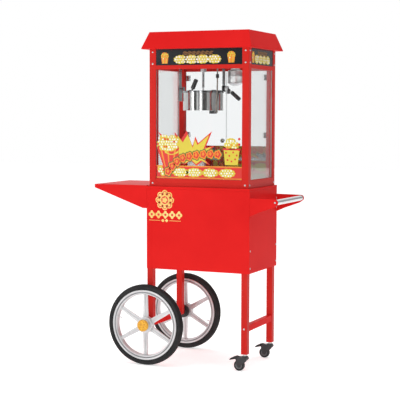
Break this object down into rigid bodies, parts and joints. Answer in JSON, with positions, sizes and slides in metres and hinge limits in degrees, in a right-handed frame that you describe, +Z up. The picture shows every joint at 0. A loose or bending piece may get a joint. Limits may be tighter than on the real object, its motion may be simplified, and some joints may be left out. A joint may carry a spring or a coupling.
{
  "type": "popcorn maker",
  "caption": "Popcorn machine with a tilting kettle behind glass, on a two-wheeled cart with a side shelf and push bar.",
  "frame": {"origin": "on the floor, in the middle of the overall length and width", "axes": "+Z up, the front window faces -Y, the push bar is on the +X side and the shelf on the -X side"},
  "size_m": [0.954, 0.536, 1.59],
  "materials": {
    "red_paint": "smooth gloss powder coat",
    "sign_black": "gloss printed acrylic",
    "clear_glass": "clear toughened glass",
    "clear_acrylic": "clear acrylic sheet",
    "black_plastic": "fine moulded texture",
    "stainless": "polished stainless steel",
    "zinc_steel": "satin zinc",
    "lead_braid": "woven metal braid",
    "lamp_white": "frosted white",
    "wheel_silver": "satin silver",
    "hub_gold": "embossed gold",
    "tyre_rubber": "matte rubber",
    "caster_rubber": "satin rubber"
  },
  "bodies": {
    "root": {"roof_canopy": "red_paint", "corner_posts": "red_paint", "frame_rails": "red_paint", "base_tray": "red_paint", "deck_plate": "stainless", "sign_panels": "sign_black", "control_panel": "red_paint", "power_inlet": "black_plastic", "front_glass": "clear_glass", "side_glasses": "clear_glass", "rear_guard": "stainless", "door_hinges": "zinc_steel", "ceiling_plate": "stainless", "drive_motor": "zinc_steel", "bearing_bushes": "zinc_steel", "kettle_hangers": "stainless", "heater_lead": "lead_braid", "lead_gland": "black_plastic", "heat_lamp": "lamp_white", "counter": "red_paint", "cabinet_panels": "red_paint", "legs": "red_paint", "cross_tubes": "red_paint", "wheel_axle": "zinc_steel", "caster_stems": "zinc_steel", "side_shelf": "red_paint", "handle_plates": "red_paint", "push_bar": "stainless", "screws": "zinc_steel"},
    "kettle": {"kettle_pot": "stainless", "kettle_base": "stainless", "kettle_yoke": "stainless", "rear_lid": "stainless", "tilt_lever": "zinc_steel", "tilt_grip": "black_plastic"},
    "kettle_lid": {"front_lid": "stainless", "lid_grip": "black_plastic"},
    "drive_shaft": {"drive_shaft": "zinc_steel"},
    "stirrer": {"stirrer": "stainless"},
    "left_door": {"left_door": "clear_acrylic", "left_door_fittings": "zinc_steel"},
    "right_door": {"right_door": "clear_acrylic", "right_door_fittings": "zinc_steel"},
    "crumb_drawer": {"crumb_drawer": "stainless"},
    "motor_switch": {"motor_switch": "black_plastic"},
    "heat_switch": {"heat_switch": "black_plastic"},
    "lamp_switch": {"lamp_switch": "black_plastic"},
    "cabinet_door": {"cabinet_door": "red_paint"},
    "front_wheel": {"front_tyre": "tyre_rubber", "front_wheel": "wheel_silver", "front_hub_cap": "hub_gold"},
    "rear_wheel": {"rear_tyre": "tyre_rubber", "rear_wheel": "wheel_silver", "rear_hub_cap": "hub_gold"},
    "front_caster": {"front_caster_fork": "black_plastic"},
    "front_caster_wheel": {"front_caster_wheel": "caster_rubber"},
    "front_caster_brake": {"front_caster_brake": "black_plastic"},
    "rear_caster": {"rear_caster_fork": "black_plastic"},
    "rear_caster_wheel": {"rear_caster_wheel": "caster_rubber"},
    "rear_caster_brake": {"rear_caster_brake": "black_plastic"}
  },
  "joints": [
    {"name": "kettle_tilt", "type": "hinge", "parent": "root", "child": "kettle", "pos_m": [0.021, 0, 1.324], "axis": [1, 0, 0], "range_deg": [0, 80]},
    {"name": "lid_open", "type": "hinge", "parent": "kettle", "child": "kettle_lid", "pos_m": [0.021, -0.0125, 1.316], "axis": [-1, 0, 0], "range_deg": [0, 85]},
    {"name": "shaft_spin", "type": "hinge", "parent": "root", "child": "drive_shaft", "pos_m": [0.021, 0, 1.4], "axis": [0, 0, 1], "continuous": true},
    {"name": "stirrer_spin", "type": "hinge", "parent": "kettle", "child": "stirrer", "pos_m": [0.021, 0, 1.26], "axis": [0, 0, 1], "continuous": true},
    {"name": "left_door_swing", "type": "hinge", "parent": "root", "child": "left_door", "pos_m": [-0.149, 0.178, 1.23], "axis": [0, 0, 1], "range_deg": [0, 110]},
    {"name": "right_door_swing", "type": "hinge", "parent": "root", "child": "right_door", "pos_m": [0.293, 0.178, 1.23], "axis": [0, 0, -1], "range_deg": [0, 110]},
    {"name": "drawer_slide", "type": "slide", "parent": "root", "child": "crumb_drawer", "axis": [0, 1, 0], "range_m": [0, 0.25]},
    {"name": "motor_switch_rock", "type": "hinge", "parent": "root", "child": "motor_switch", "pos_m": [0.112, 0.173, 1.472], "axis": [1, 0, 0], "range_deg": [0, 20]},
    {"name": "heat_switch_rock", "type": "hinge", "parent": "root", "child": "heat_switch", "pos_m": [0.152, 0.173, 1.472], "axis": [1, 0, 0], "range_deg": [0, 20]},
    {"name": "lamp_switch_rock", "type": "hinge", "parent": "root", "child": "lamp_switch", "pos_m": [0.192, 0.173, 1.472], "axis": [1, 0, 0], "range_deg": [0, 20]},
    {"name": "cabinet_door_swing", "type": "hinge", "parent": "root", "child": "cabinet_door", "pos_m": [-0.1885, 0.188, 0.65], "axis": [0, 0, 1], "range_deg": [0, 110]},
    {"name": "front_wheel_spin", "type": "hinge", "parent": "root", "child": "front_wheel", "pos_m": [-0.176, -0.229, 0.194], "axis": [0, 1, 0], "continuous": true},
    {"name": "front_caster_swivel", "type": "hinge", "parent": "root", "child": "front_caster", "pos_m": [0.312, -0.167, 0.063], "axis": [0, 0, 1], "continuous": true},
    {"name": "front_caster_roll", "type": "hinge", "parent": "front_caster", "child": "front_caster_wheel", "pos_m": [0.284, -0.167, 0.0255], "axis": [0, 1, 0], "continuous": true},
    {"name": "front_brake_press", "type": "hinge", "parent": "front_caster", "child": "front_caster_brake", "pos_m": [0.275, -0.167, 0.057], "axis": [0, -1, 0], "range_deg": [0, 12]},
    {"name": "rear_wheel_spin", "type": "hinge", "parent": "root", "child": "rear_wheel", "pos_m": [-0.176, 0.229, 0.194], "axis": [0, 1, 0], "continuous": true},
    {"name": "rear_caster_swivel", "type": "hinge", "parent": "root", "child": "rear_caster", "pos_m": [0.312, 0.167, 0.063], "axis": [0, 0, 1], "continuous": true},
    {"name": "rear_caster_roll", "type": "hinge", "parent": "rear_caster", "child": "rear_caster_wheel", "pos_m": [0.284, 0.167, 0.0255], "axis": [0, 1, 0], "continuous": true},
    {"name": "rear_brake_press", "type": "hinge", "parent": "rear_caster", "child": "rear_caster_brake", "pos_m": [0.275, 0.167, 0.057], "axis": [0, -1, 0], "range_deg": [0, 12]}
  ],
  "couplings": [
    {"joint": "stirrer_spin", "follows": "shaft_spin", "ratio": 1}
  ]
}
